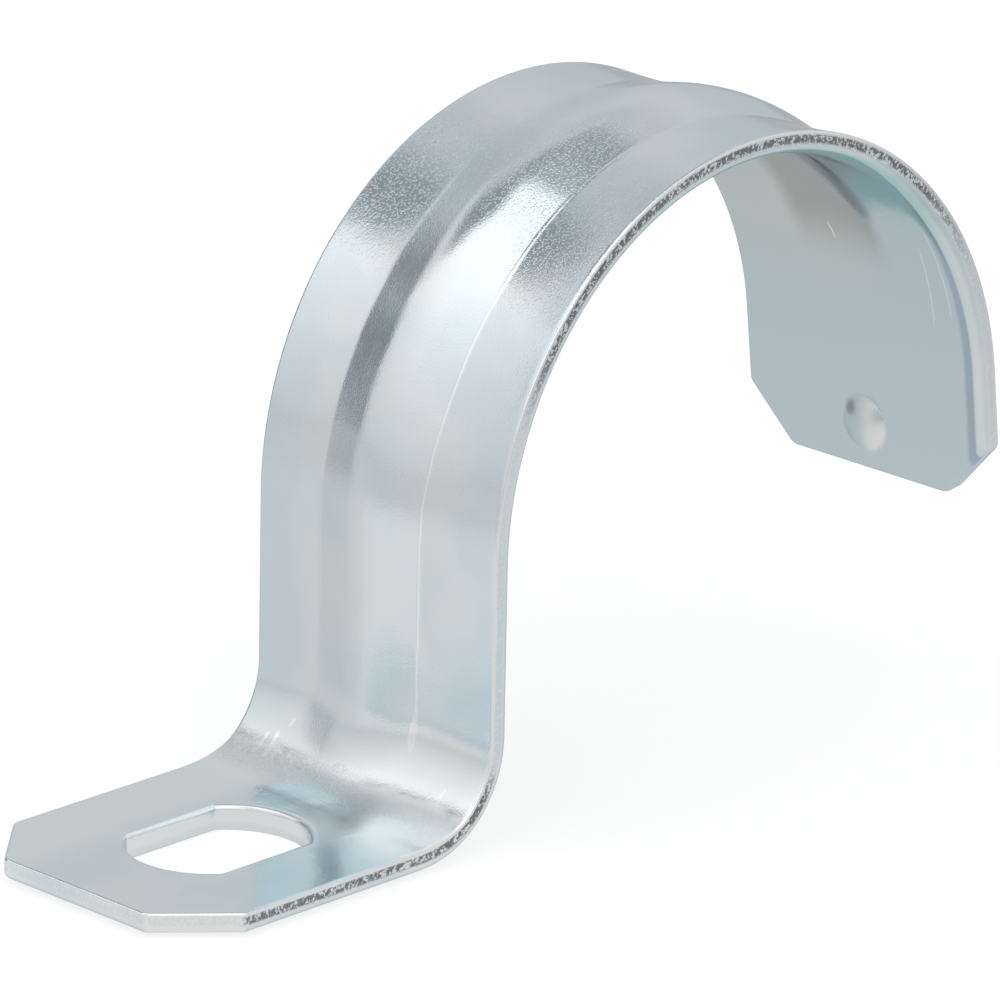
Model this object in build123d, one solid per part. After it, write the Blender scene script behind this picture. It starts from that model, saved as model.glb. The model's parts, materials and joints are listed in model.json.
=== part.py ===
"""One-hole conduit strap: a stamped, folded and ribbed strip of zinc-plated steel, in millimetres.

The strip is one piece. A flat foot with a fixing slot lies on the wall, a bend turns it up into a
short leg, the leg runs into a half-round arch that goes over the conduit, and a straight free end
with a small gripping dimple closes the far side. A rib is pressed outwards along the leg and arch.

Frame: origin at the middle of the foot's underside, level with the fixing slot. +X runs along the
strap towards the arch, +Y runs across it, along the conduit, and +Z points away from the wall.
"""
import math
import os

from build123d import *
from build123d.topology import SkipClean

# Conduit and sheet
conduit_diameter = 38.35      # steel conduit of trade size one and a quarter inch
seat_clearance = 0.55         # radial play between conduit and arch
strap_width = 19.05
sheet = 1.5                   # sheet thickness

# Side profile
arch_height = 16.85           # arch centre above the foot's underside
foot_flat = 18.1              # straight length of the foot, end to bend
bend_radius = 5.25            # foot bend, on the side of the rib
free_end_flat = 8.3           # straight length below the arch at the free end
splay_angle = 6.8             # the free end leans out by this many degrees

# Clipped corners, sizes along and across the strap
foot_clip_along = 4.2
foot_clip_across = 3.8
free_clip_along = 3.5
free_clip_across = 3.3
corner_round = 0.8            # rounding of every corner in plan

# Fixing slot: two flats along the strap, closed by two arcs
slot_length = 10.9
slot_width = 7.7              # across the flats
slot_end_radius = 4.7
slot_corner_radius = 0.3      # where the flats meet the arcs
slot_to_end = 10.9            # middle of the slot to the foot's end
slot_shift = -0.25            # the slot sits a little off the strap's middle line

# Pressed rib and its groove
rib_width = 8.0               # crease to crease, outside
rib_height = 0.76
rib_crown_radius = 6.5
groove_width = 7.6            # crease to crease, inside
groove_floor_width = 3.0      # flat bottom of the groove
groove_depth = 0.7
rib_end_angle = 38.0          # where the rib starts to sink, above the free side's horizontal
arch_runout = 4.6             # length over which the rib sinks away on the arch
bend_runout = 5.0             # and in the foot bend

# Gripping dimple on the free end, and the pit of the punch behind it
dimple_width = 3.5
dimple_height = 0.6
dimple_to_end = 3.1
pit_width = 2.8
pit_depth = 0.85

# Sheared edges
roll_radius = 0.35            # rolled-over edge on the inner side
burr_radius = 0.12            # worn burr edge on the outer side
slot_lip_radius = 0.2

# Worked out from the sizes above
arch_inner = conduit_diameter / 2 + seat_clearance
arch_outer = arch_inner + sheet
foot_end_x = -slot_to_end
bend_x = foot_end_x + foot_flat
bend_z = sheet + bend_radius
leg_x = bend_x + bend_radius                  # outer face of the leg
arch_x = leg_x + arch_outer
splay = math.radians(splay_angle)

# The free end's inner face: x runs down the strap from the arch, z into the conduit's space
free_face = Plane(
    origin=(arch_x + arch_inner * math.cos(splay), 0, arch_height + arch_inner * math.sin(splay)),
    x_dir=(math.sin(splay), 0, -math.cos(splay)),
    z_dir=(-math.cos(splay), 0, -math.sin(splay)),
)
foot_face = Plane(origin=(foot_end_x, 0, 0), x_dir=(-1, 0, 0), z_dir=(0, 0, -1))
dimple_middle = free_face.from_local_coords(Vector(free_end_flat - dimple_to_end, 0, 0))


def on_arch(radius, degrees):
    """Point of the side profile at a radius and an angle round the arch's centre."""
    turn = math.radians(degrees)
    return (arch_x + radius * math.cos(turn), arch_height + radius * math.sin(turn))


def down_free_end(radius, distance):
    """Point of the side profile on the straight free end, at a distance below the arch."""
    x, z = on_arch(radius, splay_angle)
    return (x + distance * math.sin(splay), z - distance * math.cos(splay))


def folded_strip():
    """The plain strip, folded to its side profile, with square corners and edges."""
    with BuildLine(Plane.XZ.offset(-strap_width / 2)) as profile:
        Line((foot_end_x, 0), (bend_x, 0))
        CenterArc((bend_x, bend_z), bend_radius + sheet, -90, 90)
        Line((leg_x + sheet, bend_z), (leg_x + sheet, arch_height))
        CenterArc((arch_x, arch_height), arch_inner, 180, rib_end_angle - 180)
        CenterArc((arch_x, arch_height), arch_inner, rib_end_angle, splay_angle - rib_end_angle)
        Line(down_free_end(arch_inner, 0), down_free_end(arch_inner, free_end_flat))
        Line(down_free_end(arch_inner, free_end_flat), down_free_end(arch_outer, free_end_flat))
        Line(down_free_end(arch_outer, free_end_flat), down_free_end(arch_outer, 0))
        CenterArc((arch_x, arch_height), arch_outer, splay_angle, 180 - splay_angle)
        Line((leg_x, arch_height), (leg_x, bend_z))
        CenterArc((bend_x, bend_z), bend_radius, 0, -90)
        Line((bend_x, sheet), (foot_end_x, sheet))
        Line((foot_end_x, sheet), (foot_end_x, 0))
    return extrude(make_face(profile.edges()), amount=strap_width, clean=False)


def corner_clips(face, end, along, across):
    """Two wedges that take the corners off one end of the strap.

    The end's edge lies at x = end in the plane of the face, which points away from the metal.
    """
    half = strap_width / 2
    with BuildPart() as wedges:
        with BuildSketch(face):
            for side in (-1, 1):
                with BuildLine():
                    Polyline(
                        (end - 2 * along, side * (half + across)),
                        (end + along, side * (half - 2 * across)),
                        (end + along, side * (half + across)),
                        close=True,
                    )
                make_face()
        extrude(amount=2 * sheet, both=True)
    return wedges.part


def depth_in_sheet(point):
    """How far a point of the plain strip lies below its outer side, the side of the rib."""
    down = free_face.to_local_coords(point)
    if point.X < bend_x:
        return sheet - point.Z
    if point.X < arch_x and point.Z < bend_z:
        return math.hypot(point.X - bend_x, point.Z - bend_z) - bend_radius
    if point.X < arch_x and point.Z < arch_height:
        return point.X - leg_x
    if point.X > arch_x and down.X > 0:
        return sheet + down.Z
    return arch_outer - math.hypot(point.X - arch_x, point.Z - arch_height)


def rim_edges(strip, depth):
    """The edges that go round the strip at one depth, without the seams across it."""
    rim = []
    for edge in strip.edges():
        middle = depth_in_sheet(edge @ 0.5)
        start = depth_in_sheet(edge @ 0)
        crosses = abs(edge.length - strap_width) < 0.01
        if abs(middle - depth) < 0.01 and abs(start - depth) < 0.01 and not crosses:
            rim.append(edge)
    return rim


def through_edges(strip, face):
    """The short edges that go through the sheet at the corners of one clipped end."""
    return [
        edge
        for edge in strip.edges()
        if abs(edge.length - sheet) < 0.01 and abs((edge % 0.5).dot(face.z_dir)) > 0.999
    ]


def trimmed_strip():
    """The folded strip with clipped, rounded corners and the two edges that shearing leaves."""
    strip = folded_strip()
    strip -= corner_clips(foot_face, 0, foot_clip_along, foot_clip_across)
    strip -= corner_clips(free_face, free_end_flat, free_clip_along, free_clip_across)
    for face in (foot_face, free_face):
        strip = fillet(through_edges(strip, face), corner_round)
    strip = fillet(rim_edges(strip, sheet), roll_radius)
    return fillet(rim_edges(strip, 0), burr_radius)


def rib_path():
    """Line on the strap's outer side that the rib follows, sinking into the sheet at both ends."""
    arch_sink = arch_runout**2 / (2 * rib_height)
    bend_sink = bend_runout**2 / (2 * rib_height)
    arch_end_radius = 1 / (1 / arch_outer + 1 / arch_sink)
    bend_end_radius = 1 / (1 / bend_radius - 1 / bend_sink)
    buried = 1.06                             # the path runs on until the crown is just covered
    arch_turn = math.degrees(buried * arch_runout / arch_end_radius)
    bend_turn = math.degrees(buried * bend_runout / bend_end_radius)
    with BuildLine(Plane.XZ) as path:
        CenterArc(
            on_arch(arch_outer - arch_end_radius, rib_end_angle),
            arch_end_radius,
            rib_end_angle - arch_turn,
            arch_turn,
        )
        CenterArc((arch_x, arch_height), arch_outer, rib_end_angle, 180 - rib_end_angle)
        Line((leg_x, arch_height), (leg_x, bend_z))
        CenterArc((leg_x - bend_end_radius, bend_z), bend_end_radius, 0, -bend_turn)
    return path.wire()


def swept_along_rib(draw_section):
    """Solid of a section drawn across the strap, with its y outwards from the outer side."""
    path = rib_path()
    with BuildPart() as swept:
        with BuildSketch(Plane(origin=path @ 0, x_dir=(0, -1, 0), z_dir=path % 0)):
            with BuildLine():
                draw_section()
            make_face()
        sweep(path=path)
    return swept.part


def draw_ridge():
    """Rib outside: a round crown between two straight flanks, based inside the sheet."""
    half = rib_width / 2
    to_centre = rib_crown_radius - rib_height
    slope = math.asin(rib_crown_radius / math.hypot(half, to_centre)) - math.atan(to_centre / half)
    shoulder = (
        rib_crown_radius * math.sin(slope),
        rib_crown_radius * math.cos(slope) - to_centre,
    )
    base = -(sheet - rib_height) / 2
    Line((-half, base), (-half, 0))
    Line((-half, 0), (-shoulder[0], shoulder[1]))
    ThreePointArc((-shoulder[0], shoulder[1]), (0, rib_height), shoulder)
    Line(shoulder, (half, 0))
    Line((half, 0), (half, base))
    Line((half, base), (-half, base))


def draw_groove():
    """Groove inside: a flat floor between two straight flanks, open to the conduit."""
    mouth = groove_width / 2
    floor = groove_floor_width / 2
    open_side = -2 * sheet
    Polyline(
        (-mouth, open_side),
        (-mouth, -sheet),
        (-floor, groove_depth - sheet),
        (floor, groove_depth - sheet),
        (mouth, -sheet),
        (mouth, open_side),
        close=True,
    )


def fixing_slot():
    """Cutter for the slot: two flats along the strap, closed by arcs wider than the slot."""
    half_length = slot_length / 2
    half_width = slot_width / 2
    arc_rise = slot_end_radius - math.sqrt(slot_end_radius**2 - half_width**2)
    flat_end = half_length - arc_rise
    with BuildPart() as cutter:
        with BuildSketch(Plane((0, slot_shift, 0))) as slot:
            with BuildLine():
                Line((-flat_end, half_width), (flat_end, half_width))
                ThreePointArc((flat_end, half_width), (half_length, 0), (flat_end, -half_width))
                Line((flat_end, -half_width), (-flat_end, -half_width))
                ThreePointArc((-flat_end, -half_width), (-half_length, 0), (-flat_end, half_width))
            make_face()
            fillet(slot.vertices(), slot_corner_radius)
        extrude(amount=2 * sheet, both=True)
    return cutter.part


def slot_lip(strap):
    """The slot's edges on the foot's upper side."""
    return [
        edge
        for edge in strap.edges()
        if abs((edge @ 0.5).Z - sheet) < 0.01
        and math.hypot((edge @ 0.5).X, (edge @ 0.5).Y - slot_shift) < slot_length / 2 + 0.01
    ]


def cap_radius(width, height):
    """Radius of the ball whose cap has this width and height."""
    return (width**2 / 4 + height**2) / (2 * height)


def dimple():
    """Round bump on the inner side, with its root in the sheet."""
    radius = cap_radius(dimple_width, dimple_height)
    half_turn = math.degrees(math.asin(dimple_width / 2 / radius))
    section = Plane(origin=dimple_middle, x_dir=free_face.x_dir, z_dir=(0, 1, 0))
    with BuildPart() as bump:
        with BuildSketch(section):
            with BuildLine():
                CenterArc((0, dimple_height - radius), radius, 90, -half_turn)
                Line((dimple_width / 2, 0), (dimple_width / 2, -sheet / 2))
                Line((dimple_width / 2, -sheet / 2), (0, -sheet / 2))
                Line((0, -sheet / 2), (0, dimple_height))
            make_face()
        revolve(axis=Axis(dimple_middle, free_face.z_dir))
    return bump.part


def dimple_pit():
    """Ball that leaves the punch's pit in the outer side."""
    radius = cap_radius(pit_width, pit_depth)
    centre = dimple_middle - free_face.z_dir * (sheet + radius - pit_depth)
    return Pos(centre) * Sphere(radius)


def conduit_strap():
    """The whole strap. Its seat stays three faces: a band each side of the groove, and the wall below."""
    with SkipClean():
        strap = trimmed_strip()
        strap += swept_along_rib(draw_ridge)
        strap -= swept_along_rib(draw_groove)
        strap -= fixing_slot()
        strap = fillet(slot_lip(strap), slot_lip_radius)
        strap += dimple()
        strap -= dimple_pit()
    return strap


strap = conduit_strap()
os.makedirs("parts", exist_ok=True)
export_step(strap, "parts/strap.step")
print("strap volume", round(strap.volume, 1), "mm3, box", strap.bounding_box())
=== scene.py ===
import json
import math

import bmesh
import bpy
from mathutils import Matrix, Vector, noise


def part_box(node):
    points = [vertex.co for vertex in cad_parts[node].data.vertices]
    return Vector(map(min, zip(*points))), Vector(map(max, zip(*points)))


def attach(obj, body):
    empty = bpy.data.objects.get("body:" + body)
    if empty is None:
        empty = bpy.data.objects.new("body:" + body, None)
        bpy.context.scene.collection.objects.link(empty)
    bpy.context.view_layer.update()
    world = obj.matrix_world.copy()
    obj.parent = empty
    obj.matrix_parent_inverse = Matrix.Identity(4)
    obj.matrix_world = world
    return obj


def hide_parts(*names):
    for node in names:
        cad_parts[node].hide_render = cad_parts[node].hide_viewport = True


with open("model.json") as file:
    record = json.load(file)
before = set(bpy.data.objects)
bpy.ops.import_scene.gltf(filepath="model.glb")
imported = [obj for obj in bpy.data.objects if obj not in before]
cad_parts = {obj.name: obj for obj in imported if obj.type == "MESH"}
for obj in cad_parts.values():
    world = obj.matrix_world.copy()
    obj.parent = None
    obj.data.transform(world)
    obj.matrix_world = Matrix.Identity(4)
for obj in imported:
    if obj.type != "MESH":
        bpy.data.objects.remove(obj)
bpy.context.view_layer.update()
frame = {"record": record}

# Every size below is in millimetres, and the mesh is scaled to metres as it is folded
mm = 0.001

seat = next(mount for mount in frame["record"]["mounts"] if mount["name"] == "conduit_seat")
lowCorner, highCorner = (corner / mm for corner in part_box("strap"))

strap = {
    "sheet": 1.5,
    "bendRadius": 5.25,         # foot bend, on the rib's side
    "freeEnd": 8.3,             # straight length below the arch
    "splay": 6.8,               # degrees that the free end leans out
    "footClip": (4.2, 3.8),     # clipped corners, along and across
    "freeClip": (3.5, 3.3),
    "cornerRound": 0.8,
    "edgeBand": 0.62,           # strip along every edge that holds its rounding
    "lip": 0.2,                 # burnished lip on the rib's side
    "roll": 0.42,               # rolled edge on the conduit's side
    "rollReach": 1.7,           # the sheet falls away towards that edge from here
    "rollDrop": 0.16,
    "rimRise": 0.10,            # the near edge past the arch's top curls towards the conduit instead
    "setLine": 21.3,            # where the bending die pressed in, along the strap
    "setDepth": 0.09,
    "setBefore": 2.2,           # how far its print reaches towards the foot
    "setAfter": 5.0,            # and towards the leg
    "setSoft": 0.35,
    "swell": 0.06,              # the foot swells just before the bend
    "swellPlace": (16.8, 19.0, 19.0, 21.4),
    "nearCurl": 0.30,           # lift of the arch's near edge over the rib's foot
    "farDip": 0.25,
    "columnStep": 0.36,         # widest spacing of the mesh across the strap
    "rowStep": 0.31,            # and along it
    "finestColumn": 0.05,       # spacing on a crease
    "finestRow": 0.16,
    "growth": 0.28,             # gain in spacing for each millimetre from a crease
}

rib = {
    "halfWidth": 4.0,
    "height": 0.75,
    "crownRadius": 6.5,
    "grooveHalf": 3.8,
    "grooveFloor": 1.5,
    "grooveDepth": 0.7,
    "endAngle": 38.0,           # where it starts to sink on the arch
    "archRunout": 4.6,
    "bendRunout": 5.0,
    "crease": 0.022,            # softness of the creases
    "runoutSoft": 0.16,         # they spread out where the rib sinks away
    "grooveSoft": 0.25,         # and on the conduit's side past the arch's top
    "flare": 0.8,               # the far flank widens this much in the bend
    "drift": 0.48,              # the rib wanders this far sideways on the leg
    "bead": 0.03,               # the sheet stands up in a fine line along the near crease
    "beadWidth": 0.07,
}

slot = {
    "length": 10.9,
    "width": 7.7,
    "endRadius": 4.7,
    "corner": 0.3,
    "shift": -0.25,
    "band": 0.5,
    "lip": 0.28,
    "bevel": 0.05,              # at the foot's underside
    "wallShine": 0.5,
    "clear": 1.1,               # metal around the slot that its own rings of mesh take up
    "rings": 6,
}

shear = {       # the sheared edge of the sheet
    "tornLayer": (0.2, 0.3, 0.66, 0.82),    # depths between which the metal tore
    "tornFoot": (3.9, 4.4, 23.0, 25.5),     # and where it did so, along the strap
    "tornArch": (7, 14, -24, -14),          # from the arch's start, and back from the free end
    "tornElsewhere": 0.08,
    "setBack": 0.045,           # the torn metal stands back by this much
    "rough": 0.05,              # and this much more or less
    "roughSize": 2.6,           # lumps per millimetre
    "wallShine": 0.35,          # how far the smooth part of the edge is burnished
}

dimple = {
    "toEnd": 3.0,
    "width": 3.5,
    "height": 0.45,
    "pitWidth": 2.8,
    "pitDepth": 0.85,
    "soft": 0.16,
}

# Side profile, worked out from the frame. Distances run along the strap on the rib's side
archX = seat["pos_m"][0] / mm
archZ = seat["pos_m"][2] / mm
archRadius = seat["dims"]["r_mm"] + strap["sheet"]
legX = archX - archRadius
bendX = legX - strap["bendRadius"]
bendZ = strap["sheet"] + strap["bendRadius"]
halfWidth = (highCorner.y - lowCorner.y) / 2
splay = math.radians(strap["splay"])

footLength = bendX - lowCorner.x
bendLength = strap["bendRadius"] * math.pi / 2
legLength = archZ - bendZ
archLength = archRadius * (math.pi - splay)
bendStart = footLength
legStart = bendStart + bendLength
archStart = legStart + legLength
freeStart = archStart + archLength
totalLength = freeStart + strap["freeEnd"]
ribEnd = archStart + archRadius * (math.pi - math.radians(rib["endAngle"]))
slotMiddle = -lowCorner.x


def outerSide(along):   # point and outward direction of the plain strap's outer side
    if along < bendStart:
        return lowCorner.x + along, strap["sheet"], 0.0, 1.0
    if along < legStart:
        turn = (along - bendStart) / strap["bendRadius"]
        out = (-math.sin(turn), math.cos(turn))
        return (bendX - out[0] * strap["bendRadius"], bendZ - out[1] * strap["bendRadius"], *out)
    if along < archStart:
        return legX, bendZ + along - legStart, -1.0, 0.0
    if along < freeStart:
        turn = math.pi - (along - archStart) / archRadius
        out = (math.cos(turn), math.sin(turn))
        return (archX + out[0] * archRadius, archZ + out[1] * archRadius, *out)
    out = (math.cos(splay), math.sin(splay))
    down = along - freeStart
    return (
        archX + out[0] * archRadius + down * out[1],
        archZ + out[1] * archRadius - down * out[0],
        *out,
    )


def fold(along, across, depth):     # from the flat blank to the folded strap, in metres
    x, z, outX, outZ = outerSide(along)
    return Vector((x - outX * depth, across, z - outZ * depth)) * mm


def smooth(low, high, value):
    t = min(max((value - low) / (high - low), 0.0), 1.0)
    return t * t * (3 - 2 * t)


def plateau(places, value):     # rises between the first two places and falls between the last two
    low, lowFull, highFull, high = places
    return smooth(low, lowFull, value) * (1 - smooth(highFull, high, value))


def above(value, softness):     # value where it is positive, nothing where it is negative
    return (value + math.hypot(value, softness)) / 2


def ribMiddle(along):
    onLeg = 1 - smooth(archStart - 2, archStart + 16, along)
    return rib["drift"] * onLeg


def ribSink(along):     # how deep the rib has sunk into the sheet near its two ends
    pastArch = max(along - ribEnd, 0) / rib["archRunout"]
    pastBend = max(legStart - along, 0) / rib["bendRunout"]
    return rib["height"] * (pastArch**2 + pastBend**2)


crownToCentre = rib["crownRadius"] - rib["height"]
flankSlope = (
    math.asin(rib["crownRadius"] / math.hypot(rib["halfWidth"], crownToCentre))
    - math.atan(crownToCentre / rib["halfWidth"])
)
shoulder = rib["crownRadius"] * math.sin(flankSlope)


def creaseSoftness(along):
    inBend = 1 - smooth(bendStart + 3.5, legStart + 2, along)
    pastArch = smooth(ribEnd - 1, ribEnd + 4, along)
    return rib["crease"] + rib["runoutSoft"] * max(inBend, pastArch)


def ribRise(along, across):     # lift of the outer side
    off = across - ribMiddle(along)
    if off > 0:
        off /= 1 + rib["flare"] * min(max((legStart - along) / rib["bendRunout"], 0), 1)
    off = abs(off)
    if off < shoulder:
        section = math.sqrt(rib["crownRadius"]**2 - off**2) - crownToCentre
    else:
        section = (rib["halfWidth"] - off) * math.tan(flankSlope)
    return above(section - ribSink(along), creaseSoftness(along))


def grooveRise(along, across):      # lift of the conduit's side
    off = abs(across - ribMiddle(along))
    slope = rib["grooveDepth"] / (rib["grooveHalf"] - rib["grooveFloor"])
    section = (rib["grooveHalf"] - off) * slope
    floor = rib["grooveDepth"]
    pastTop = rib["grooveSoft"] * smooth(archStart + 26, archStart + 34, along)
    section = floor - above(floor - section, rib["crease"] + pastTop)
    return above(section - ribSink(along), max(creaseSoftness(along), pastTop))


def dimpleDepth(along, across, width, height):      # a ball's cap with a slightly soft rim
    off = math.hypot(along - (totalLength - dimple["toEnd"]), across)
    radius = (width**2 / 4 + height**2) / (2 * height)
    cap = math.sqrt(max(radius**2 - off**2, 0)) - (radius - height)
    return above(cap, dimple["soft"] * height) * (1 - smooth(width * 0.5, width * 0.8, off))


def bendSet(along):     # print of the bending die on the rib's side, and the swelling before it
    off = along - strap["setLine"]
    reach = strap["setBefore"] if off < 0 else strap["setAfter"]
    away = math.hypot(off, strap["setSoft"]) - strap["setSoft"]
    swell = strap["swell"] * plateau(strap["swellPlace"], along)
    return strap["setDepth"] * max(1 - away / reach, 0)**2 - swell


def curl(along, across):    # the bent sheet's bands curl a little across the arch
    onArch = plateau((archStart, archStart + 10, ribEnd - 14, ribEnd), along)
    off = across - ribMiddle(along)
    half = rib["halfWidth"]
    outwards = min(max((abs(off) - half) / (halfWidth - half), 0), 1)
    if off > 0:
        level = strap["farDip"] * outwards * (1 - outwards)
    else:
        level = -strap["nearCurl"] * outwards**2
    level += strap["nearCurl"] * min(max((half - off) / (2 * half), 0), 1)
    return level * onArch


def edgeDistance(along, across):    # inwards from the blank's outline
    side = halfWidth - abs(across)
    gaps = [side, along, totalLength - along]
    for away, (longer, shorter) in ((along, strap["footClip"]), (totalLength - along, strap["freeClip"])):
        gaps.append((away * shorter + side * longer - longer * shorter) / math.hypot(longer, shorter))
    return min(gaps)


def rollFall(along, across):    # the conduit's side falls away towards its rolled edge
    reach = strap["rollReach"]
    into = (reach - edgeDistance(along, across)) / (reach - strap["edgeBand"])
    intoRim = (reach - halfWidth - across) / (reach - strap["edgeBand"])
    fall = strap["rollDrop"] * max(into, 0)**2
    rise = strap["rimRise"] * max(intoRim, 0)**2
    pastTop = smooth(ribEnd - 11, ribEnd - 1, along)    # there it rises to the near rim instead
    return fall * (1 - pastTop) - rise * pastTop


def bead(along, across):
    off = (across - ribMiddle(along) + rib["halfWidth"]) / rib["beadWidth"]
    onCrease = plateau((24.0, 25.5, archStart + 22, archStart + 34), along)
    return rib["bead"] * math.exp(-off * off) * onCrease


def outerDepth(along, across):
    pit = dimpleDepth(along, across, dimple["pitWidth"], dimple["pitDepth"])
    raised = ribRise(along, across) + bead(along, across)
    return pit + curl(along, across) + bendSet(along) - raised


def innerDepth(along, across):
    bump = dimpleDepth(along, across, dimple["width"], dimple["height"])
    fall = rollFall(along, across) + grooveRise(along, across)
    return strap["sheet"] + bump + curl(along, across) - fall


def spaced(start, end, widest, creases, finest):    # positions that crowd together near creases
    places = [start]
    while places[-1] < end:
        near = min((abs(places[-1] - crease) for crease in creases), default=end)
        places.append(places[-1] + min(widest, finest + near * strap["growth"]))
    scale = (end - start) / (places[-1] - start)
    return [start + (place - start) * scale for place in places]


def clippedEnd(clip):   # rows of the mesh through one clipped end
    along, across = clip
    turn = math.atan2(across, along)
    corner = strap["cornerRound"]
    bend = corner - strap["edgeBand"]
    sideCentre = (along + corner * (1 - math.cos(turn)) / math.sin(turn), halfWidth - corner)
    endCentre = (corner, halfWidth - (corner + (along - corner) * math.sin(turn)) / math.cos(turn))

    def onArc(centre, angle):   # distance from the end, half width, direction of the edge's normal
        return centre[0] - bend * math.sin(angle), centre[1] + bend * math.cos(angle), angle

    arcSteps = 6
    cutSteps = 14
    square = math.pi / 2
    endArc = [onArc(endCentre, square + (turn - square) * k / arcSteps) for k in range(arcSteps + 1)]
    sideArc = [onArc(sideCentre, turn * (1 - k / arcSteps)) for k in range(arcSteps + 1)]
    first, last = endArc[-1], sideArc[0]
    cut = [
        (first[0] + (last[0] - first[0]) * k / cutSteps, first[1] + (last[1] - first[1]) * k / cutSteps, turn)
        for k in range(1, cutSteps)
    ]
    return endArc + cut + sideArc


def strapRows():    # each row across the strap: distance along, half width, normal of the side edge
    foot = clippedEnd(strap["footClip"])
    free = clippedEnd(strap["freeClip"])
    rows = [(away, half, (-math.sin(angle), math.cos(angle))) for away, half, angle in foot]
    start, end = rows[-1][0], totalLength - free[-1][0]
    creases = [strap["setLine"], legStart, ribEnd + rib["archRunout"], totalLength - dimple["toEnd"]]
    middle = spaced(start, end, strap["rowStep"], creases, strap["finestRow"])[1:-1]
    rows += [(place, halfWidth - strap["edgeBand"], (0, 1)) for place in middle]
    rows += [
        (totalLength - away, half, (math.sin(angle), math.cos(angle)))
        for away, half, angle in reversed(free)
    ]
    return rows


def strapColumns():     # places across the strap, from the middle line to the edge band and mirrored
    edge = halfWidth - strap["edgeBand"]
    creases = [shoulder, rib["grooveFloor"], rib["grooveHalf"], rib["halfWidth"]]
    half = spaced(0, edge, strap["columnStep"], creases, strap["finestColumn"])
    return [-place for place in reversed(half[1:])] + half


def slotSides(alongSteps, acrossSteps):
    # outline of the slot from its middle, as two flats and two arcs that meet at the corners' middles
    half, radius, corner = slot["width"] / 2, slot["endRadius"], slot["corner"]
    arcCentre = slot["length"] / 2 - radius
    rise = half - corner
    run = math.sqrt((radius - corner)**2 - rise**2)
    cornerCentre = (arcCentre + run, rise)
    arcAngle = math.atan2(rise, run)
    middleAngle = (arcAngle + math.pi / 2) / 2
    cornerSteps = 3

    def around(centre, size, angle):
        return centre[0] + size * math.cos(angle), centre[1] + size * math.sin(angle), angle

    flatCorner = [
        around(cornerCentre, corner, middleAngle + (math.pi / 2 - middleAngle) * k / cornerSteps)
        for k in range(cornerSteps)
    ]
    arcCorner = [
        around(cornerCentre, corner, middleAngle + (arcAngle - middleAngle) * k / cornerSteps)
        for k in range(cornerSteps)
    ]
    flatSteps = alongSteps - 2 * cornerSteps
    flat = [(cornerCentre[0] * (2 * k / flatSteps - 1), half, math.pi / 2) for k in range(flatSteps + 1)]
    arcSteps = acrossSteps - 2 * cornerSteps
    arc = [around((arcCentre, 0), radius, arcAngle * (1 - 2 * k / arcSteps)) for k in range(arcSteps + 1)]

    def flipAlong(points):
        return [(-x, y, math.pi - angle) for x, y, angle in points]

    def flipAcross(points):
        return [(x, -y, -angle) for x, y, angle in points]

    top = flipAlong(flatCorner) + flat + flatCorner[::-1]
    right = arcCorner + arc + flipAcross(arcCorner)[::-1]
    bottom = flipAcross(top)[::-1]
    left = flipAlong(right)[::-1]
    return [point for side in (top, right, bottom, left) for point in side[:-1]]


class SheetMesh:    # a mesh drawn on the flat blank and folded point by point

    def __init__(self):
        self.mesh = bmesh.new()
        self.blank = self.mesh.verts.layers.float_vector.new("blank")
        self.finish = self.mesh.verts.layers.float_vector.new("finish")

    def point(self, along, across, depth, torn=0.0, burnished=0.0):
        vert = self.mesh.verts.new(fold(along, across, depth))
        vert[self.blank] = (along, across, depth)
        vert[self.finish] = (torn, burnished, across - ribMiddle(along))
        return vert

    def ring(self, points):
        return [self.point(*point) for point in points]

    def band(self, first, second):      # quads between two closed rings of points
        count = len(first)
        for k in range(count):
            after = (k + 1) % count
            self.mesh.faces.new((first[k], first[after], second[after], second[k]))

    def finished(self, name):
        bmesh.ops.recalc_face_normals(self.mesh, faces=self.mesh.faces)
        data = bpy.data.meshes.new(name)
        self.mesh.to_mesh(data)
        self.mesh.free()
        data.shade_smooth()
        piece = bpy.data.objects.new(name, data)
        bpy.context.scene.collection.objects.link(piece)
        return piece


def drifted(column, edge, along):   # the mesh's columns follow the rib, and stay put at the strap's edges
    return column + ribMiddle(along) * (1 - (column / edge)**4)


def drawSurface(sheet, rows, columns, depthAt, hole):
    # one side of the sheet as a grid with the slot left out; returns its points by row and column
    firstRow, lastRow, firstColumn, lastColumn = hole
    edge = columns[-1]
    grid = {}
    for i, (along, half, _) in enumerate(rows):
        for j, column in enumerate(columns):
            if firstRow < i < lastRow and firstColumn < j < lastColumn:
                continue
            across = drifted(column, edge, along) * half / edge
            grid[i, j] = sheet.point(along, across, depthAt(along, across))
    for i in range(len(rows) - 1):
        for j in range(len(columns) - 1):
            if firstRow <= i < lastRow and firstColumn <= j < lastColumn:
                continue
            sheet.mesh.faces.new((grid[i, j], grid[i + 1, j], grid[i + 1, j + 1], grid[i, j + 1]))
    return grid


def holeBounds(rows, columns):      # the rows and columns that the slot's own rings take over
    reachAlong = slot["length"] / 2 + slot["clear"]
    reachAcross = slot["width"] / 2 + slot["clear"]
    places = [drifted(column, columns[-1], slotMiddle) for column in columns]
    inRows = [i for i, row in enumerate(rows) if abs(row[0] - slotMiddle) < reachAlong]
    inColumns = [j for j, place in enumerate(places) if abs(place - slot["shift"]) < reachAcross]
    return inRows[0] - 1, inRows[-1] + 1, inColumns[0] - 1, inColumns[-1] + 1


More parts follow.
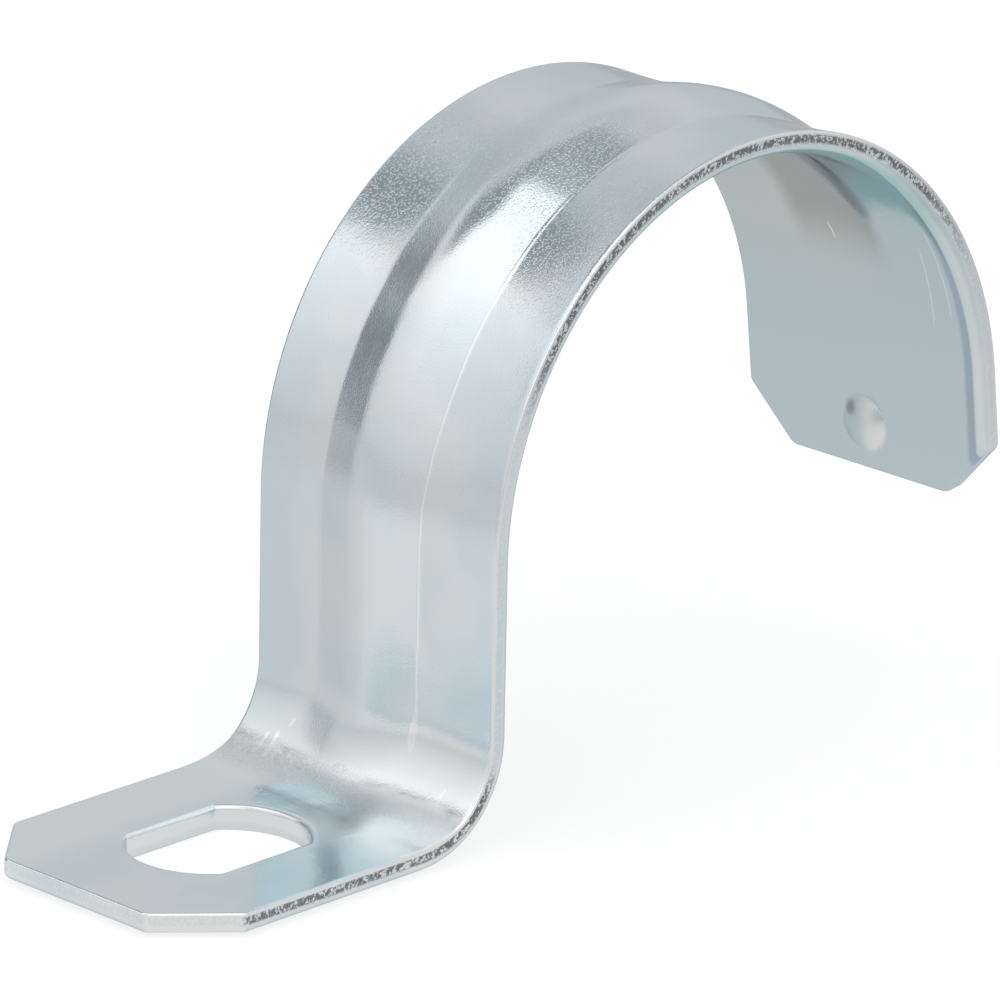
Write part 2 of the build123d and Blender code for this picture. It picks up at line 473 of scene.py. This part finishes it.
def holeLoop(hole):     # grid points round the slot, in the order of slotSides
    firstRow, lastRow, firstColumn, lastColumn = hole
    return (
        [(i, lastColumn) for i in range(firstRow, lastRow)]
        + [(lastRow, j) for j in range(lastColumn, firstColumn, -1)]
        + [(i, firstColumn) for i in range(lastRow, firstRow, -1)]
        + [(firstRow, j) for j in range(firstColumn, lastColumn)]
    )


def drawSlot(sheet, outerGrid, innerGrid, hole):
    loop = holeLoop(hole)
    outline = slotSides(hole[1] - hole[0], hole[3] - hole[2])

    def ringAt(into, depth, burnished=0.0):     # into is the distance from the slot's wall into the metal
        points = []
        for x, y, angle in outline:
            along = slotMiddle + x + into * math.cos(angle)
            across = slot["shift"] + y + into * math.sin(angle)
            points.append((along, across, depth, 0.0, burnished))
        return points

    def blended(points, grid, share):
        mixed = []
        for point, key in zip(points, loop):
            far = grid[key][sheet.blank]
            mixed.append([near + (end - near) * share for near, end in zip(point, far)])
        return mixed

    lip = slot["lip"]
    lipSteps = 4
    shares = [k / slot["rings"] for k in range(1, slot["rings"])]
    rings = [[outerGrid[key] for key in loop]]
    upper = ringAt(slot["band"], 0)
    rings += [sheet.ring(blended(upper, outerGrid, share)) for share in reversed(shares)]
    rings.append(sheet.ring(upper))
    for k in range(lipSteps + 1):
        angle = math.pi / 2 * k / lipSteps
        into = lip * (1 - math.sin(angle))
        depth = lip * (1 - math.cos(angle))
        rings.append(sheet.ring(ringAt(into, depth, k / lipSteps)))
    lower = strap["sheet"] - slot["bevel"]
    wallSteps = 5
    for k in range(1, wallSteps + 1):
        depth = lip + (lower - lip) * k / wallSteps
        rings.append(sheet.ring(ringAt(0, depth, slot["wallShine"])))
    rings.append(sheet.ring(ringAt(slot["bevel"], strap["sheet"])))
    under = ringAt(slot["band"], strap["sheet"])
    rings.append(sheet.ring(under))
    rings += [sheet.ring(blended(under, innerGrid, share)) for share in shares]
    rings.append([innerGrid[key] for key in loop])
    for first, second in zip(rings, rings[1:]):
        sheet.band(first, second)


def edgeProfile(drop):  # from the rib's side round the sheared edge to the conduit's side: outwards, depth
    band, lip, roll = strap["edgeBand"], strap["lip"], strap["roll"]
    profile = [(band * 0.4, 0)]
    lipSteps = 5
    for k in range(lipSteps + 1):
        angle = math.pi / 2 * k / lipSteps
        profile.append((band - lip * (1 - math.sin(angle)), lip * (1 - math.cos(angle))))
    # the roll ends where it meets the falling surface
    fall = 2 * drop / (strap["rollReach"] - band)
    last = math.pi / 2 - math.atan(fall)
    reach = band - roll * (1 - math.cos(last))
    bottom = strap["sheet"] - drop - fall * reach - roll * math.sin(last)
    wallSteps = 8
    for k in range(1, wallSteps):
        profile.append((band, lip + (bottom - lip) * k / wallSteps))
    rollSteps = 6
    for k in range(rollSteps + 1):
        angle = last * k / rollSteps
        profile.append((band - roll * (1 - math.cos(angle)), bottom + roll * math.sin(angle)))
    return profile


def tornAt(along, depth):   # share of torn metal on the sheared edge: strong on the foot and the arch
    low, lowFull, highFull, high = shear["tornArch"]
    arch = (archStart + low, archStart + lowFull, totalLength + highFull, totalLength + high)
    share = max(plateau(shear["tornFoot"], along), plateau(arch, along), shear["tornElsewhere"])
    return plateau(shear["tornLayer"], depth) * share


def fracture(along, across, depth):     # how far the torn metal stands back
    place = Vector((along, across, depth)) * shear["roughSize"]
    rough = noise.noise(place) * 0.6 + noise.noise(place * 2.7) * 0.4
    return tornAt(along, depth) * (shear["setBack"] + shear["rough"] * rough)


def drawEdge(sheet, rows, columns, outerGrid, innerGrid):
    lastRow, lastColumn = len(rows) - 1, len(columns) - 1
    loop = [((i, lastColumn), (row[2][0], row[2][1])) for i, row in enumerate(rows)]
    loop += [((lastRow, j), (1, 0)) for j in range(lastColumn - 1, -1, -1)]
    loop += [((i, 0), (rows[i][2][0], -rows[i][2][1])) for i in range(lastRow - 1, -1, -1)]
    loop += [((0, j), (-1, 0)) for j in range(1, lastColumn)]
    places = []     # around each place of the loop: one point for each ring
    for key, (normalAlong, normalAcross) in loop:
        startAlong, startAcross, _ = outerGrid[key][sheet.blank]
        clipped = smooth(0.5, 0.9, 2 * abs(normalAlong * normalAcross)) * (startAlong < slotMiddle)
        points = []
        for outwards, depth in edgeProfile(rollFall(startAlong, startAcross)):
            out = outwards - fracture(startAlong, startAcross, depth)
            along = startAlong + normalAlong * out
            across = startAcross + normalAcross * out
            pressed = bendSet(along) * (1 - depth / strap["sheet"])
            onLip = plateau((0.0, 0.08, 0.16, 0.3), depth)
            onWall = plateau((0.1, 0.3, 0.75, 1.0), depth)
            side = abs(normalAcross) * max(onLip, shear["wallShine"] * onWall)
            burnished = max(side, clipped * smooth(0, 0.1, depth))
            bent = depth + curl(along, across) + pressed
            points.append((along, across, bent, tornAt(along, depth), burnished))
        places.append(points)
    rings = [[outerGrid[key] for key, _ in loop]]
    rings += [sheet.ring(points) for points in zip(*places)]
    rings.append([innerGrid[key] for key, _ in loop])
    for first, second in zip(rings, rings[1:]):
        sheet.band(first, second)


def makeStrap():
    rows = strapRows()
    columns = strapColumns()
    hole = holeBounds(rows, columns)
    sheet = SheetMesh()
    outerGrid = drawSurface(sheet, rows, columns, outerDepth, hole)
    innerGrid = drawSurface(sheet, rows, columns, innerDepth, hole)
    drawSlot(sheet, outerGrid, innerGrid, hole)
    drawEdge(sheet, rows, columns, outerGrid, innerGrid)
    piece = sheet.finished("conduit_strap")
    print("strap:", len(rows), "rows,", len(columns), "columns,", len(piece.data.polygons), "faces")
    return piece


# Shader maths as plain sums: a Socket stands for one output of a node

class Socket:

    def __init__(self, tree, output):
        self.tree = tree
        self.output = output

    def maths(self, operation, *others, swapped=False):
        values = [self, *others]
        if swapped:
            values.reverse()
        return self.tree.node("ShaderNodeMath", {"operation": operation}, dict(enumerate(values))).socket(0)

    def __add__(self, other):
        return self.maths("ADD", other)

    def __radd__(self, other):
        return self.maths("ADD", other, swapped=True)

    def __sub__(self, other):
        return self.maths("SUBTRACT", other)

    def __rsub__(self, other):
        return self.maths("SUBTRACT", other, swapped=True)

    def __mul__(self, other):
        return self.maths("MULTIPLY", other)

    def __rmul__(self, other):
        return self.maths("MULTIPLY", other, swapped=True)

    def __truediv__(self, other):
        return self.maths("DIVIDE", other)

    def abs(self):
        return self.maths("ABSOLUTE")

    def least(self, other):
        return self.maths("MINIMUM", other)

    def most(self, other):
        return self.maths("MAXIMUM", other)

    def step(self, low, high):      # 0 below low, 1 above high, smooth between; low may be the larger one
        if low > high:
            return 1 - self.step(high, low)
        settings = {"interpolation_type": "SMOOTHSTEP"}
        values = {"Value": self, "From Min": low, "From Max": high}
        return self.tree.node("ShaderNodeMapRange", settings, values).socket("Result")

    def between(self, places):      # rises between the first two places and falls between the last two
        low, lowFull, highFull, high = places
        return self.step(low, lowFull) * self.step(high, highFull)


class Node:

    def __init__(self, tree, made):
        self.tree = tree
        self.made = made

    def socket(self, name):
        return Socket(self.tree, self.made.outputs[name])


class Tree:     # the nodes of one material or world

    def __init__(self, owner):
        owner.use_nodes = True
        self.links = owner.node_tree.links
        self.nodes = owner.node_tree.nodes
        self.nodes.clear()

    def node(self, kind, settings=None, values=None):
        made = self.nodes.new(kind)
        for name, setting in (settings or {}).items():
            if name == "stops":
                self.setStops(made.color_ramp, setting)
            else:
                setattr(made, name, setting)
        for name, value in (values or {}).items():
            if isinstance(value, Socket):
                self.links.new(value.output, made.inputs[name])
            else:
                made.inputs[name].default_value = value
        return Node(self, made)

    def setStops(self, ramp, stops):
        while len(ramp.elements) < len(stops):
            ramp.elements.new(1)
        for element, (position, value) in zip(ramp.elements, stops):
            element.position = position
            element.color = (value, value, value, 1)

    def ramp(self, value, stops):
        return self.node("ShaderNodeValToRGB", {"stops": stops}, {"Fac": value}).socket("Color")

    def noise(self, vector, scale, detail=2.0, roughness=0.5):
        values = {"Vector": vector, "Scale": scale, "Detail": detail, "Roughness": roughness}
        return self.node("ShaderNodeTexNoise", {}, values).socket("Fac")

    def noiseColour(self, vector, scale):   # three numbers about nothing, to shake a place with
        values = {"Vector": vector, "Scale": scale, "Detail": 2.0}
        noises = self.node("ShaderNodeTexNoise", {}, values).socket("Color")
        return self.vector("SUBTRACT", noises, (0.5, 0.5, 0.5)).socket("Vector")

    def vector(self, operation, *values):
        return self.node("ShaderNodeVectorMath", {"operation": operation}, dict(enumerate(values)))

    def stretched(self, vector, factors):
        return self.vector("MULTIPLY", vector, factors).socket("Vector")

    def mixed(self, factor, first, second):
        settings = {"data_type": "RGBA"}
        first, second = (colour if isinstance(colour, Socket) else (*colour, 1) for colour in (first, second))
        return self.node("ShaderNodeMix", settings, {0: factor, 6: first, 7: second}).socket(2)


zinc = {
    "cool": (0.75, 0.85, 0.895),
    "plain": (0.825, 0.882, 0.90),
    "warm": (0.875, 0.89, 0.885),
    "pale": (0.87, 0.925, 0.93),
    "insideCool": (0.615, 0.73, 0.76),      # these are for the conduit's side: painted shade, darker than the same zinc outside
    "insideWarm": (0.69, 0.73, 0.715),
    "insideTeal": (0.53, 0.73, 0.72),
    "insideLow": (0.65, 0.765, 0.805),
    "insideRim": (0.42, 0.53, 0.60),
    "insideGroove": (0.44, 0.46, 0.44),
    "capShade": (0.36, 0.42, 0.46),
    "scuffed": (0.68, 0.72, 0.73),
    "torn": (0.25, 0.26, 0.27),
    "bright": (0.97, 0.98, 0.97),
    "burnished": (0.92, 0.93, 0.93),
    "roughness": 0.09,
    "burnishedRoughness": 0.22,
    "tornRoughness": 0.2,       # the rest are added to the roughness
    "scuffRoughness": 0.28,
    "softerRoughness": 0.05,
    "capRoughness": 0.2,
    "tintSize": 0.16,           # patches of colour per millimetre
    "blushSize": 0.11,
    "wanderSize": 0.9,
    "edgeTint": (0.78, 0.83, 0.87, 1),      # at a glancing view
    "grainSize": 10.0,          # grains per millimetre
    "grainHeight": 0.006,       # millimetres
    "speckSize": 8.0,
    "speckHeight": 0.009,
    "rippleSize": 0.45,
    "rippleHeight": 0.022,
    "tornSize": 4.8,
    "tornHeight": 0.11,
    "scuffSize": 7.0,
    "scuffHeight": 0.012,
    "creaseLine": 0.10,         # half width of the painted highlight along the near crease, over the bead's own reflection
    "creaseFlare": 0.22,        # it widens this much where the rib's foot meets the bend
    "outerMarks": [             # start and end of each bright mark, along and across, and its half width
        ((22.8, 6.45), (20.7, 6.2), 0.2),
        ((22.5, 7.1), (21.4, 7.1), 0.15),
        ((23.7, 5.7), (23.0, 5.8), 0.12),
        ((22.2, -6.2), (20.9, -6.2), 0.17),
        ((22.3, -6.7), (21.2, -6.8), 0.15),
        ((22.9, -7.0), (21.6, -6.95), 0.13),
        ((19.0, -3.0), (21.6, -4.5), 0.08),
        ((17.1, 3.4), (18.5, 3.7), 0.06),
        ((12.9, -5.2), (12.9, -6.8), 0.05),
    ],
    "innerMarks": [
        ((88.0, -8.1), (97.5, -7.8), 0.06),
        ((90.5, -6.9), (98.4, -6.2), 0.05),
        # this one is a painted glint; the two above are scratches
        ((91.7, 1.0), (93.1, 0.5), 0.09),
    ],
}


# Where each finish starts, is full, is full until and ends: along the strap, or across it where named so
zones = {
    "specks": (50, 55, 60, 68),
    "groove": (22, 27, 91, 95),
    "dieLine": (18.6, 21.0, 21.4, 22.3),    # where the bending die scuffed the zinc
    "dulled": (20.4, 21.0, 22.8, 24.2),
    "polished": (15.5, 17.5, 23.5, 26),
    "creaseLine": (23.9, 24.4, archStart + 20, archStart + 34),
    "creaseFlare": (23.7, 24.9, 25.1, 27.4),
    "cooler": (4, 8, 13, 17),
    "softer": (12, 16, 32, 40),             # reflections of the strap in itself
    # painted shade and painted reflection on the conduit's side
    "warmUnderArch": (60, 68, 88, 101),
    "tealUnderArch": (60, 68, 84, 92),
    "greyGroove": (60, 68, 90, 95),
    "nearRimAcross": (-9.2, -9.0, -8.6, -8.2),
}


def streaks(tree, place, marks):    # 1 on each straight mark
    masks = []
    for (startAlong, startAcross), (endAlong, endAcross), half in marks:
        middle = ((startAlong + endAlong) / 2, (startAcross + endAcross) / 2, 0)
        length = math.hypot(endAlong - startAlong, endAcross - startAcross)
        direction = ((endAlong - startAlong) / length, (endAcross - startAcross) / length, 0)
        sideways = (-direction[1], direction[0], 0)
        off = tree.vector("SUBTRACT", place, middle).socket("Vector")
        down = tree.vector("DOT_PRODUCT", off, direction).socket("Value").abs()
        aside = tree.vector("DOT_PRODUCT", off, sideways).socket("Value").abs()
        masks.append(down.step(length / 2, length * 0.25) * aside.step(half, half * 0.4))
    return sum(masks)


def zincPlatedSteel():
    material = bpy.data.materials.new("zinc_plated_steel")
    tree = Tree(material)
    blank = tree.node("ShaderNodeAttribute", {"attribute_name": "blank"}).socket("Vector")
    finish = tree.node("ShaderNodeAttribute", {"attribute_name": "finish"}).socket("Vector")
    place = tree.node("ShaderNodeSeparateXYZ", {}, {0: blank})
    along, across, depth = (place.socket(axis) for axis in "XYZ")
    states = tree.node("ShaderNodeSeparateXYZ", {}, {0: finish})
    torn, burnished, offRib = (states.socket(axis) for axis in "XYZ")
    # the groove lies as deep as the middle of the sheet, so its depth counts for more there
    onRib = offRib.abs().step(4.0, 2.0) * along.between(zones["groove"])
    inside = (depth + onRib * 0.5).step(0.8, 1.3)

    grain = tree.noise(tree.stretched(blank, (0.8, 1.0, 1.0)), zinc["grainSize"], 1.0, 0.6)
    # specks stand up from the grain; their colour also gets a painted glint below
    specks = tree.noise(blank, zinc["speckSize"], 0.0).step(0.56, 0.72)
    later = along - offRib.abs().step(4.0, 2.5) * 4
    specks = specks * (0.15 + 0.85 * later.between(zones["specks"])) * (1 - inside)
    ripple = tree.noise(blank, zinc["rippleSize"], 1.0)
    tornGrain = tree.noise(blank, zinc["tornSize"], 2.0, 0.65)
    wander = tree.noise(blank, zinc["wanderSize"], 1.0)

    # the bending die scuffs the zinc along a line; the bend's far part is darker and its near part lighter
    wavy = along + (wander - 0.5) * 1.4
    dieLine = wavy.between(zones["dieLine"]) * (1 - inside) * (1 - burnished)
    scuff = tree.noise(blank, zinc["scuffSize"], 1.0, 0.7)
    dulled = along.between(zones["dulled"]) * across.step(0.5, 2.5) * (1 - inside)
    polished = along.between(zones["polished"]) * across.step(-0.5, -4) * (1 - inside)
    shake = tree.noiseColour(blank, 2.2)
    ragged = tree.vector("MULTIPLY_ADD", shake, (0.22, 0.22, 0), blank).socket("Vector")
    marks = streaks(tree, ragged, zinc["outerMarks"]) * (1 - inside)
    marks = marks + streaks(tree, ragged, zinc["innerMarks"]) * inside * 0.7
    # painted highlight: a whitish line along the near crease, on top of the bead that catches the light there
    flare = along.between(zones["creaseFlare"]) * zinc["creaseFlare"]
    creaseOff = (offRib + rib["halfWidth"] + (wander - 0.5) * 0.12 - flare * 0.6).abs()
    onCrease = along.between(zones["creaseLine"]) * (1 - inside)
    creaseLine = (creaseOff - flare).step(zinc["creaseLine"], zinc["creaseLine"] * 0.3) * onCrease
    bright = (marks + creaseLine).least(1)

    height = (
        grain * zinc["grainHeight"]
        + specks * zinc["speckHeight"]
        + ripple * zinc["rippleHeight"]
        + torn * tornGrain * zinc["tornHeight"]
        + dieLine * scuff * zinc["scuffHeight"]
    )
    bump = tree.node("ShaderNodeBump", {}, {"Strength": 1.0, "Distance": mm, "Height": height}).socket(0)

    tint = tree.noise(blank, zinc["tintSize"], 2.0)
    blush = tree.noise(blank, zinc["blushSize"], 1.0)
    pale = tint.step(0.35, 0.65) - across.abs().step(5.0, 9.0) * along.step(20, 27) * 0.6
    # painted shade: a bluer, darker tone on the foot's near side
    pale = pale - across.step(-3.5, -7.0) * along.between(zones["cooler"])
    colour = tree.mixed(pale.most(0), zinc["cool"], zinc["plain"])
    colour = tree.mixed(blush.step(0.58, 0.75) * 0.6, colour, zinc["warm"])
    colour = tree.mixed(along.step(26, 20) * across.step(2.5, 6.0), colour, zinc["pale"])
    colour = tree.mixed(dulled * 0.5, colour, zinc["scuffed"])
    # painted shade on the conduit's side: darker than the outside, warmer on the far half under the arch,
    # less dark near the free end
    warmShade = across.step(-5, 1) * along.between(zones["warmUnderArch"])
    insideShadedColour = tree.mixed(warmShade, zinc["insideCool"], zinc["insideWarm"])
    # painted reflection: teal where the inside mirrors the strap's own inside under the arch
    tealReflection = along.between(zones["tealUnderArch"]) * across.step(-3, -6.5)
    insideShadedColour = tree.mixed(tealReflection, insideShadedColour, zinc["insideTeal"])
    insideShadedColour = tree.mixed(along.step(95, 102), insideShadedColour, zinc["insideLow"])
    # painted shade: the groove darker on the conduit's side, dimming a reflection there
    grooveShade = offRib.abs().step(4.2, 2.6) * along.between(zones["greyGroove"])
    insideShadedColour = tree.mixed(grooveShade * 0.85, insideShadedColour, zinc["insideGroove"])
    # painted shade in a dark band along the near rim past the arch's top, and a painted highlight on the
    # rim's very edge
    pastTop = along.step(85, 93)
    rimShade = across.between(zones["nearRimAcross"]) * pastTop
    insideShadedColour = tree.mixed(rimShade * 0.85, insideShadedColour, zinc["insideRim"])
    insideShadedColour = tree.mixed(across.step(-9.05, -9.2) * pastTop * 0.4, insideShadedColour, zinc["bright"])

    # painted highlight on the dimple's cap on its near side, and a painted shade spot at the top of its far
    # side
    fromDimple = tree.vector("SUBTRACT", blank, (totalLength - dimple["toEnd"], 0, 0)).socket("Vector")
    onCap = tree.vector("LENGTH", tree.stretched(fromDimple, (1, 1, 0))).socket("Value").step(1.9, 1.5)
    shade = tree.vector("DISTANCE", fromDimple, (-1.0, 1.0, 1.9)).socket("Value").step(0.75, 0.25)
    insideShadedColour = tree.mixed(onCap * across.step(0.5, -0.9), insideShadedColour, zinc["bright"])
    insideShadedColour = tree.mixed(shade * 0.8, insideShadedColour, zinc["capShade"])
    colour = tree.mixed(inside, colour, insideShadedColour)
    colour = tree.mixed(dieLine * scuff.step(0.5, 0.42) * 0.15, colour, zinc["torn"])
    colour = tree.mixed(burnished, colour, zinc["burnished"])
    # lighter metal where there are scratches and the die's scuff line, painted highlights for the near
    # crease's line and the specks' sparkle, and a lighter near part of the bend
    wearAndGlints = bright + dieLine * (0.4 + scuff.step(0.54, 0.62) * 0.6) + specks * 0.3 + polished * 0.5
    colour = tree.mixed(wearAndGlints.least(1), colour, zinc["bright"])
    colour = tree.mixed(torn * tornGrain.step(0.58, 0.49), colour, zinc["torn"])
    roughness = (
        zinc["roughness"]
        + (tint - 0.5) * 0.08
        + torn * zinc["tornRoughness"]
        + burnished * (zinc["burnishedRoughness"] - zinc["roughness"])
        + dieLine * zinc["scuffRoughness"]
        + along.between(zones["softer"]) * zinc["softerRoughness"]
        + onCap * inside * zinc["capRoughness"]
    )

    shader = tree.node("ShaderNodeBsdfPrincipled", {}, {
        "Base Color": colour,
        "Metallic": 1.0,
        "Roughness": roughness,
        "Specular Tint": zinc["edgeTint"],
        "Normal": bump,
    })
    tree.node("ShaderNodeOutputMaterial", {}, {"Surface": shader.socket(0)})
    return material


piece = makeStrap()
piece.data.materials.append(zincPlatedSteel())
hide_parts("strap")
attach(piece, "root")

# Studio, by direction in degrees: pale walls with a dim drape, a tall light panel and soft boxes
studio = {
    "walls": [      # azimuth, brightness
        (-180, 0.98), (-90, 0.80), (-50, 0.98), (0, 0.90), (56, 0.90), (76, 0.66),
        (96, 0.38), (105, 0.40), (110, 0.92), (165, 0.94), (180, 0.98),
    ],
    "climb": [      # elevation, gain of the light panel
        (-90, 0.95), (-5, 0.94), (0, 0.86), (4, 0.97), (15, 1.07), (30, 1.28), (45, 1.52), (60, 1.72),
    ],
    "panelFrom": [(-180, 0), (104, 0), (110, 1), (168, 1), (180, 0)],
    "patches": [    # brightness, then how far each patch reaches round and up
        (0.60, [(103, 0), (109, 1), (112, 1), (124, 0)], [(-40, 1), (1, 1), (11, 0.5), (20, 0)]),
        (0.36, [(98, 0), (103, 1), (114, 1), (121, 0)], [(-4, 0), (4, 1), (18, 1), (26, 0)]),
        (0.97, [(72, 0), (84, 1), (112, 1), (116, 0)], [(28, 0), (33, 1), (39, 1), (44, 0)]),
        (0.80, [(0, 0), (30, 1), (70, 1), (96, 0)], [(34, 0), (43, 1), (49, 1), (55, 0)]),
        (0.50, [(-20, 0), (20, 1), (112, 1), (120, 0)], [(52, 0), (58, 1), (68, 1), (76, 0)]),
        (0.44, [(84, 0), (98, 1), (112, 1), (120, 0)], [(38, 0), (45, 1), (60, 1), (76, 0)]),
        (1.62, [(-180, 1), (-60, 1), (-30, 0), (84, 0), (98, 1)], [(62, 0), (70, 1)]),
        (1.50, [(-165, 0), (-150, 1), (-85, 1), (-70, 0)], [(12, 0), (24, 1), (60, 1), (70, 0)]),
    ],
    "level": 0.755,
    "drapeTint": (0.90, 0.99, 1.06),
    "paper": 0.8,
    "floorGlow": (0.55, 0.9),       # share of its light that shadows spare: for the camera, for the metal
    "floorNear": [          # its strength by azimuth round the leg, as the metal sees it
        (-180, 0.80), (60, 0.66), (90, 0.58), (100, 0.60), (108, 0.64),
        (115, 0.68), (135, 0.70), (142, 0.77), (161, 0.80),
    ],
    "floorFar": [
        (-180, 0.62), (60, 0.52), (95, 0.35), (110, 0.39),
        (115, 0.51), (120, 0.61), (125, 0.66), (160, 0.62),
    ],
    "floorFade": (0.06, 0.16),      # metres from the leg where near turns into far
    "floorWhite": 1.34,     # strength that makes the unshadowed floor white to the camera
    "floorReach": 3.0,      # metres
    "floorGap": 0.02,       # millimetres under the strap
}


def azimuthOf(split):   # whole turns from -x, as the ramps below count them
    return split.socket("Y").maths("ARCTAN2", split.socket("X")) / (2 * math.pi) + 0.5


def turnStops(stops):
    return [(azimuth / 360 + 0.5, value) for azimuth, value in stops]


def makeWorld():
    world = bpy.data.worlds.new("studio")
    bpy.context.scene.world = world
    tree = Tree(world)
    direction = tree.node("ShaderNodeTexCoord").socket("Generated")
    split = tree.node("ShaderNodeSeparateXYZ", {}, {0: direction})
    around = azimuthOf(split)
    height = split.socket("Z").maths("ARCSINE") / math.pi + 0.5

    def byAzimuth(stops):
        return tree.ramp(around, turnStops(stops))

    def byElevation(stops):
        return tree.ramp(height, [(elevation / 180 + 0.5, value) for elevation, value in stops])

    light = byAzimuth(studio["walls"])
    lift = byElevation([(elevation, gain / 2) for elevation, gain in studio["climb"]]) * 2 - 1
    light = light * (1 + lift * byAzimuth(studio["panelFrom"]))
    for brightness, across, up in studio["patches"]:
        light = light + byAzimuth(across) * byElevation(up) * (brightness - light)
    tint = tree.mixed(light.step(0.9, 0.5), (1, 1, 1), studio["drapeTint"])

    # what the camera sees past the floor is white
    toCamera = tree.node("ShaderNodeLightPath").socket("Is Camera Ray")
    light = light * studio["level"]
    light = light + toCamera * (1 - light)
    background = tree.node("ShaderNodeBackground", {}, {"Color": tint, "Strength": light})
    tree.node("ShaderNodeOutputWorld", {}, {"Surface": background.socket(0)})


def makeFloor():
    mesh = bpy.data.meshes.new("floor")
    size = studio["floorReach"]
    corners = [(-size, -size, 0), (size, -size, 0), (size, size, 0), (-size, size, 0)]
    mesh.from_pydata(corners, [], [(0, 1, 2, 3)])
    floor = bpy.data.objects.new("floor", mesh)
    floor.location.z = -studio["floorGap"] * mm
    bpy.context.scene.collection.objects.link(floor)
    material = bpy.data.materials.new("pale_floor")
    tree = Tree(material)
    rays = tree.node("ShaderNodeLightPath")
    toCamera = rays.socket("Is Camera Ray")
    seen = toCamera.most(rays.socket("Is Glossy Ray")).most(rays.socket("Is Transmission Ray"))
    grey = (studio["paper"], studio["paper"], studio["paper"], 1)
    paper = tree.node("ShaderNodeBsdfDiffuse", {}, {"Color": grey}).socket(0)

    # the metal sees the floor dimmer towards the drape and dimmer far away
    position = tree.node("ShaderNodeNewGeometry").socket("Position")
    fromLeg = tree.vector("SUBTRACT", position, (legX * mm, 0, 0)).socket("Vector")
    away = tree.vector("LENGTH", fromLeg).socket("Value")
    around = azimuthOf(tree.node("ShaderNodeSeparateXYZ", {}, {0: fromLeg}))
    near = tree.ramp(around, turnStops(studio["floorNear"]))
    far = tree.ramp(around, turnStops(studio["floorFar"]))
    reflected = near + away.step(*studio["floorFade"]) * (far - near)
    strength = reflected + toCamera * (studio["floorWhite"] - reflected)
    glow = tree.node("ShaderNodeEmission", {}, {"Color": (1, 1, 1, 1), "Strength": strength}).socket(0)
    cameraShare, metalShare = studio["floorGlow"]
    share = seen * (metalShare + toCamera * (cameraShare - metalShare))
    shown = tree.node("ShaderNodeMixShader", {}, {0: share, 1: paper, 2: glow})
    tree.node("ShaderNodeOutputMaterial", {}, {"Surface": shown.socket(0)})
    mesh.materials.append(material)


view = {        # the photograph's own view, fitted to the strap's outline
    "eye": (-319.18, -331.81, 180.69),      # millimetres
    "right": (0.70104, -0.71289, 0.01835),
    "up": (0.22038, 0.24105, 0.94516),
    "sensor": 36,
    "lens": 314.8,
    "nearest": 0.01,            # metres
}


def makeCamera():
    eye = Vector(view["eye"]) * mm
    right = Vector(view["right"])
    up = Vector(view["up"])
    back = right.cross(up)
    data = bpy.data.cameras.new("camera")
    data.sensor_width = view["sensor"]
    data.lens = view["lens"]
    data.clip_start = view["nearest"]
    camera = bpy.data.objects.new("camera", data)
    camera.matrix_world = Matrix.Translation(eye) @ Matrix((right, up, back)).transposed().to_4x4()
    bpy.context.scene.collection.objects.link(camera)
    bpy.context.scene.camera = camera


makeWorld()
makeFloor()
makeCamera()
bpy.context.scene.view_settings.view_transform = "Standard"
print("studio, floor and camera made")
